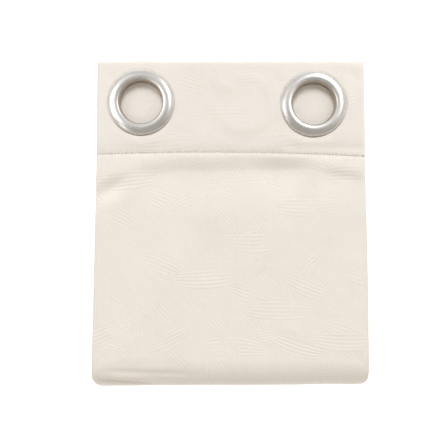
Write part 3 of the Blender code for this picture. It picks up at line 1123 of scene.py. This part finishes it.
leaves = leaf_group()
print("one leaf pattern takes", len(leaves.nodes), "nodes")

# %% [markdown]
# The patterns are laid over each other in this order. The sizes keep the leaves long and slender,
# and the share of leaves kept leaves room between them for the ones below.

# %% The eight patterns
LEAF_PATTERNS = (
    # angle in degrees, leaf length, leaf width and line spacing in mm, and share of leaves kept
    (88, 58, 15, 3.0, 0.34),
    (-47, 84, 26, 3.5, 0.62),
    (44, 92, 28, 3.6, 0.60),
    (-21, 100, 30, 3.8, 0.52),
    (24, 108, 30, 3.7, 0.46),
    (2, 118, 34, 4.0, 0.50),
    (-63, 74, 22, 3.3, 0.30),
    (91, 52, 13, 2.9, 0.16),
)
FIRST_SEED, SEED_STEP = 1.3, 3.7
# the lines stand out more in some places than in others
DRIFT_SCALE, DRIFT_FROM, DRIFT_TO = 0.034, 0.35, 0.65
STAND_OUT = np.array((0.40, 1.35))


def leaf_relief(tree, place, lines):
    """Height of the raised lines, where each pattern lies over the ones before it."""
    relief = 0.0
    for number, (angle, *sizes) in enumerate(LEAF_PATTERNS):
        values = (place, math.radians(angle), *sizes, SEED_STEP * number + FIRST_SEED)
        pattern = node(tree, "Group", dict(zip(GROUP_INPUTS, values)), node_tree=leaves).outputs
        # a Mix node numbers its inputs: 0 is the share, 2 and 3 are numbers, 6 and 7 colours
        over = {0: pattern["Mask"], 2: relief, 3: pattern["Height"]}
        relief = node(tree, "Mix", over, data_type="FLOAT").outputs[0]
    drift = noise(tree, place, DRIFT_SCALE, 1.0)
    return calc(tree, "MULTIPLY", relief, ramp(tree, drift, DRIFT_FROM, DRIFT_TO, *(STAND_OUT * lines)))


print(len(LEAF_PATTERNS), "leaf patterns")

# %% [markdown]
# ## The cloth
#
# The ground is a fine, dense sateen in ivory polyester. The raised lines shine a little more than the
# ground, which is what makes a jacquard show, and they stand up by a few hundredths of a
# millimetre. Over them lies the weave itself, warp crossing weft, and under them soft rumples too
# shallow to model. Along the seam the needle has left a pinhole between every two stitches, each one
# a small dip with painted shade in it, and the thread gathers the cloth into small puckers.

# %% Marks along the seam
HOLE_FROM, HOLE_TO = 0.25, 0.85
PUCKERS_FROM, PUCKERS_TO = 0.4, 3.6


def seam_marks(tree, x, y):
    """Pinholes between the stitches, a mask for their dip and their painted shade, and puckers beside
    them, for a place in the cloth in mm.
    """
    pitch = STITCH_PITCH / MM
    count = calc(tree, "ADD", calc(tree, "DIVIDE", x, pitch), 0.5)
    phase = calc(tree, "SUBTRACT", calc(tree, "FRACT", count), 0.5)
    off_seam = calc(tree, "SUBTRACT", y, HEADING_DEPTH / MM - STITCHES_ABOVE_EDGE / MM)
    far = far_off(tree, calc(tree, "MULTIPLY", phase, pitch), off_seam)
    hole = ramp(tree, far, HOLE_FROM, HOLE_TO, 1.0, 0.0, "SMOOTHSTEP")
    aside = calc(tree, "ABSOLUTE", off_seam)
    near_seam = ramp(tree, aside, PUCKERS_FROM, PUCKERS_TO, 1.0, 0.0, "SMOOTHSTEP")
    wave = calc(tree, "COSINE", calc(tree, "MULTIPLY", phase, math.tau))
    return hole, calc(tree, "MULTIPLY", wave, near_seam)


print("a pinhole every", round(STITCH_PITCH / MM, 2), "mm")

# %% [markdown]
# The lines make the cloth a touch lighter and smoother. Thick threads and clouds change its tone by
# a few parts in a hundred. The heading's cloth lies double, so a little less light gets lost in it,
# and the stitching has pulled its lines flatter.

# %% Cloth material
IVORY, HEADING_IVORY = (0.83, 0.768, 0.690), (0.84, 0.778, 0.703)
HEADING_LINES = 0.8
LINE_HEIGHT, RUMPLE_HEIGHT, WEAVE_HEIGHT = 0.066 * MM, 0.60 * MM, 0.012 * MM
PUCKER_HEIGHT, HOLE_DEPTH = 0.24 * MM, 0.12 * MM
WEAVE_PITCH, WEAVE_SHARE = 0.42, 0.6
# how thick threads are drawn out along the weft, and the sizes of clouds and rumples
SLUB_STRETCH, CLOUD_SCALE, RUMPLE_SCALE = (0.05, 1.4, 1.0), 0.021, 0.062
# how much lines, thick threads and clouds change the tone, and how much painted shade darkens the pinholes
LINE_TONE, SLUB_TONE, CLOUD_TONE, PINHOLE_SHADE = 0.017, 0.05, 0.05, -0.38
CLOTH_ROUGH, LINE_ROUGH, CLOUD_ROUGH = 0.66, -0.05, 0.12


def cloth_material(name, colour, lines=1.0):
    material, tree, cloth = new_material(name)
    marks = node(tree, "Attribute", {}, attribute_name="cloth_at")
    place = scaled(tree, marks.outputs["Vector"], 1 / MM)
    x, y, _ = node(tree, "SeparateXYZ", {"Vector": place}).outputs
    relief = leaf_relief(tree, place, lines)
    hole, pucker = seam_marks(tree, x, y)
    warp, weft = (calc(tree, "SINE", calc(tree, "MULTIPLY", v, math.tau / WEAVE_PITCH)) for v in (x, y))
    drawn_out = node(tree, "Mapping", {"Vector": place, "Scale": SLUB_STRETCH}).outputs[0]
    slub = noise(tree, drawn_out, 1.0, 3.0)
    cloud = noise(tree, place, CLOUD_SCALE, 2.0)
    tone = calc(tree, "MULTIPLY_ADD", relief, LINE_TONE, 1.0)
    tone = sway(tree, cloud, CLOUD_TONE, sway(tree, slub, SLUB_TONE, tone))
    # painted shade: the cloth is darkened in each pinhole, where shade falls
    tone = calc(tree, "MULTIPLY", tone, calc(tree, "MULTIPLY_ADD", hole, PINHOLE_SHADE, 1.0))
    rough = calc(tree, "MULTIPLY_ADD", relief, LINE_ROUGH, CLOTH_ROUGH)
    normal = bump(tree, noise(tree, place, RUMPLE_SCALE, 2.0), RUMPLE_HEIGHT)
    normal = bump(tree, relief, LINE_HEIGHT, over=normal)
    normal = bump(tree, calc(tree, "MULTIPLY", warp, weft), WEAVE_HEIGHT, WEAVE_SHARE, over=normal)
    normal = bump(tree, pucker, PUCKER_HEIGHT, over=normal, invert=True)
    fill(tree, cloth, {
        "Base Color": scaled(tree, colour, tone),
        "Roughness": sway(tree, cloud, CLOUD_ROUGH, rough),
        "Specular IOR Level": 0.30,
        "Sheen Weight": 0.12,
        "Sheen Roughness": 0.45,
        "Normal": bump(tree, hole, HOLE_DEPTH, over=normal, invert=True),
    })
    return material


panel.data.materials.append(cloth_material("ivory jacquard", IVORY))
heading.data.materials.append(cloth_material("ivory jacquard, heading", HEADING_IVORY, HEADING_LINES))
print("cloth in two tones:", IVORY, HEADING_IVORY)

# %% [markdown]
# ## The thread
#
# The thread is two fine plies twisted together, so its bump is a slanting stripe, and its tone and
# gloss go up and down with it.

# %% Thread material
THREAD_IVORY, THREAD_TONES, THREAD_GLOSS = (0.86, 0.80, 0.72), (0.90, 1.04), (0.42, 0.55)
PLY_SCALE, PLY_BENT = 900.0, 0.4
PLY_HEIGHT, PLY_SHARE = 0.06 * MM, 0.8


def thread_material():
    material, tree, thread = new_material("ivory thread")
    place = node(tree, "TexCoord", {}).outputs["Object"]
    wave = {"Vector": place, "Scale": PLY_SCALE, "Distortion": PLY_BENT}
    stripes = node(tree, "TexWave", wave, bands_direction="DIAGONAL").outputs["Fac"]
    fill(tree, thread, {
        "Base Color": scaled(tree, THREAD_IVORY, ramp(tree, stripes, 0.0, 1.0, *THREAD_TONES)),
        "Roughness": ramp(tree, stripes, 0.0, 1.0, *THREAD_GLOSS),
        "Normal": bump(tree, stripes, PLY_HEIGHT, PLY_SHARE),
    })
    return material


stitches.data.materials.append(thread_material())
print("thread in", THREAD_IVORY)

# %% [markdown]
# ## The metal
#
# The rings are steel with a satin nickel coat. Brushing them on a lathe leaves fine circles round
# the axis, and the noise here depends on the radius and height only, so that it draws those circles.
# Down the barrel the colour is painted darker and browner: painted shade, and a painted reflection of the
# shaded cloth that the barrel mirrors.

# %% Ring material
# the bore's colour is painted shade and a painted reflection of the shaded cloth in the hole
NICKEL, BORE_PAINTED_SHADE = (0.80, 0.792, 0.782, 1), (0.43, 0.37, 0.31, 1)
BORE_SHADE_FROM, BORE_SHADE_TO = 21.7 * MM, 22.7 * MM
BRUSH_SCALE, BRUSH_TONE = 3000.0, 0.10
BRUSH_HEIGHT, BRUSH_SHARE = 0.006 * MM, 0.7
# how rough the coat is, and how much brushing and handling change that
RING_ROUGH, BRUSH_ROUGH, HANDLED_ROUGH, HANDLED_SCALE = 0.29, 0.10, 0.14, 90.0


def ring_material():
    material, tree, metal = new_material("satin nickel")
    place = node(tree, "TexCoord", {}).outputs["Object"]
    x, y, z = node(tree, "SeparateXYZ", {"Vector": place}).outputs
    radius = far_off(tree, x, y)
    across, up = (calc(tree, "MULTIPLY", v, BRUSH_SCALE) for v in (radius, z))
    circles = node(tree, "CombineXYZ", {"X": across, "Y": up}).outputs[0]
    brush = noise(tree, circles, 1.0, 2.0)
    handled = noise(tree, place, HANDLED_SCALE, 4.0)
    # painted shade: the colour turns darker and browner down the bore
    bore_shade = ramp(tree, radius, BORE_SHADE_FROM, BORE_SHADE_TO, 1.0, 0.0, "SMOOTHSTEP")
    coat_and_bore_shade = node(tree, "Mix", {0: bore_shade, 6: NICKEL, 7: BORE_PAINTED_SHADE}, data_type="RGBA").outputs[2]
    rough = sway(tree, handled, HANDLED_ROUGH, RING_ROUGH)
    fill(tree, metal, {
        "Base Color": scaled(tree, coat_and_bore_shade, sway(tree, brush, BRUSH_TONE, 1.0)),
        "Metallic": 1.0,
        "Roughness": sway(tree, brush, BRUSH_ROUGH, rough),
        "Normal": bump(tree, brush, BRUSH_HEIGHT, BRUSH_SHARE),
    })
    return material


nickel = ring_material()
for mesh in (face_ring, back_ring):
    mesh.materials.append(nickel)
print("rings in", nickel.name)

# %% [markdown]
# ## The table and the backdrop
#
# The curtain lies on a white table that is lit so brightly that it all but loses its shadows, as in
# a shop's picture. So the table glows a little itself.

# %% Table
bpy.context.scene.view_settings.view_transform = "Standard"
TABLE_HALF, TABLE_BELOW = 3.0, 0.2 * MM
WHITE_BOARD = {
    "Base Color": (0.9, 0.9, 0.9, 1),
    "Roughness": 0.8,
    "Emission Color": (1, 1, 1, 1),
    "Emission Strength": 0.6,
}


def stand(name, mesh, finish, values):
    """Puts up a part of the studio in a finish of its own."""
    material, tree, shader = new_material(finish)
    fill(tree, shader, values)
    mesh.materials.append(material)
    part = put(name, mesh)
    part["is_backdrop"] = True
    return part


top = bpy.data.meshes.new("table")
corners = [(a * TABLE_HALF, b * TABLE_HALF, -TABLE_BELOW) for a, b in ((-1, -1), (1, -1), (1, 1), (-1, 1))]
top.from_pydata(corners, [], [(0, 1, 2, 3)])
stand("table", top, "white board", WHITE_BOARD)
print("a white table", 2 * TABLE_HALF, "m wide")

# %% [markdown]
# A pale dome far away fills the view beyond the table. Only the camera sees the dome, so it neither
# lights nor shades anything.

# %% Backdrop
DOME_RADIUS = 12.0
PALE_WALL = {
    "Base Color": (0, 0, 0, 1),
    "Specular IOR Level": 0.0,
    "Emission Color": (0.90, 0.89, 0.875, 1),
    "Emission Strength": 1.0,
}
shell = bmesh.new()
bmesh.ops.create_icosphere(shell, subdivisions=4, radius=DOME_RADIUS)
wall = bpy.data.meshes.new("backdrop")
shell.to_mesh(wall)
shell.free()
dome = stand("backdrop", wall, "pale wall", PALE_WALL)
dome.visible_diffuse = dome.visible_glossy = dome.visible_transmission = dome.visible_shadow = False
print("a pale dome", 2 * DOME_RADIUS, "m wide")

# %% [markdown]
# ## The lights
#
# Cloth and metal want different lights. Cloth scatters light, so its folds show by the direction of a
# few broad lights: a wide sun from the head side, a soft box low at the left and the right, and one at
# the foot. Metal shows what stands round it, as a mirror does, so the arcs on the rings come from
# cards and walls that stand where a ring's slope looks. In a real studio one set of lamps has to serve
# both. Blender has switches instead: `visible_diffuse` lets a lamp light the cloth, and
# `visible_glossy` lets the metal mirror it.

# %% Soft lights
FACE_CENTRE = Vector((0.0, 0.0, face_z))
SOFT_LIGHTS = (
    # name, place in m, size in m, watts, whether it lights the cloth, whether the metal mirrors it
    ("right light", (0.42, 0.27, 0.29), 0.25, 0.40, True, False),
    ("left light", (-0.42, 0.27, 0.29), 0.25, 0.40, True, False),
    ("foot light", (0.0, -0.80, 0.80), 0.80, 2.7, True, False),
    ("right card", (0.30, 0.44, 0.44), 0.38, 0.74, False, True),
    ("left card", (-0.262, 0.130, 0.200), 0.19, 0.16, False, True),
    ("low card", (-0.240, -0.020, 0.140), 0.09, 0.036, False, True),
    ("left high card", (-0.52, 0.24, 0.75), 0.40, 0.36, False, True),
    ("right high card", (0.50, 0.38, 0.72), 0.40, 0.36, False, True),
    ("left wall", (-1.10, 0.45, 0.85), 1.50, 2.3, False, True),
    ("right wall", (1.20, 0.32, 0.70), 1.60, 2.6, False, True),
    ("foot card", (0.0, -1.00, 1.19), 2.60, 2.1, False, True),
    ("ceiling card", (0.0, 1.60, 1.34), 3.30, 12.7, False, True),
)
for name, place, size, watts, lights_cloth, in_metal in SOFT_LIGHTS:
    lamp = bpy.data.lights.new(name, "AREA")
    lamp.shape, lamp.size, lamp.energy = "SQUARE", size, watts
    light = put(name, lamp)
    light.location = place
    light.rotation_euler = (FACE_CENTRE - Vector(place)).to_track_quat("-Z", "Y").to_euler()
    light.visible_diffuse, light.visible_glossy, light.visible_camera = lights_cloth, in_metal, False
print(len(SOFT_LIGHTS), "soft lights")

# %% [markdown]
# The wide sun is a little blue, as daylight from a window is. The surround is warmer, and fills what
# the lamps leave dark.

# %% Sun and surround
HEAD_LIGHT_FROM = Vector((0.0, 0.67, 0.74))
SUN_STRENGTH, SUN_WIDTH, SUN_COLOUR = 2.10, math.radians(24), (0.884, 0.930, 1.0)
SURROUND, SURROUND_STRENGTH = (1.0, 0.937, 0.84, 1), 0.34
sun = bpy.data.lights.new("head light", "SUN")
sun.energy, sun.angle, sun.color = SUN_STRENGTH, SUN_WIDTH, SUN_COLOUR
head_light = put("head light", sun)
head_light.rotation_euler = HEAD_LIGHT_FROM.to_track_quat("Z", "Y").to_euler()
head_light.visible_glossy = False
world = bpy.data.worlds.new("studio")
world.use_nodes = True
surround = {"Color": SURROUND, "Strength": SURROUND_STRENGTH}
fill(world.node_tree, world.node_tree.nodes["Background"], surround)
bpy.context.scene.world = world
print("a wide sun and a warm surround")

# %% [markdown]
# ## The camera
#
# The camera looks straight down. It stands a little below the middle of the packet, and its lens is
# shifted up to bring the packet back into the middle of the picture, as a shift lens does without
# tilting.

# %% Camera
CAMERA_ABOVE_FACE = 0.650
CAMERA_X, CAMERA_Y = -0.0076, -0.050
SEEN_WIDTH = 0.447
SENSOR, NEAREST = 36.0, 0.05
lens = bpy.data.cameras.new("camera")
lens.sensor_width, lens.clip_start = SENSOR, NEAREST
lens.lens = SENSOR * CAMERA_ABOVE_FACE / SEEN_WIDTH
lens.shift_y = -CAMERA_Y / SEEN_WIDTH
camera = put("camera", lens)
camera.location = (CAMERA_X, CAMERA_Y, face_z + CAMERA_ABOVE_FACE)
bpy.context.scene.camera = camera
print("lens", round(lens.lens, 1), "mm")

# %% [markdown]
# ## Print the boxes
#
# Both boxes, the solids' and the looks', are printed. The looks may stand only a little proud of
# the solids.

# %% Print the boxes
made_low, made_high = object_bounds()
boxes = {"cad": [list(cad_low), list(cad_high)], "visual": [list(made_low), list(made_high)]}
for name, (low, high) in boxes.items():
    print(name, "box from", [round(v / MM, 1) for v in low], "to", [round(v / MM, 1) for v in high], "mm")
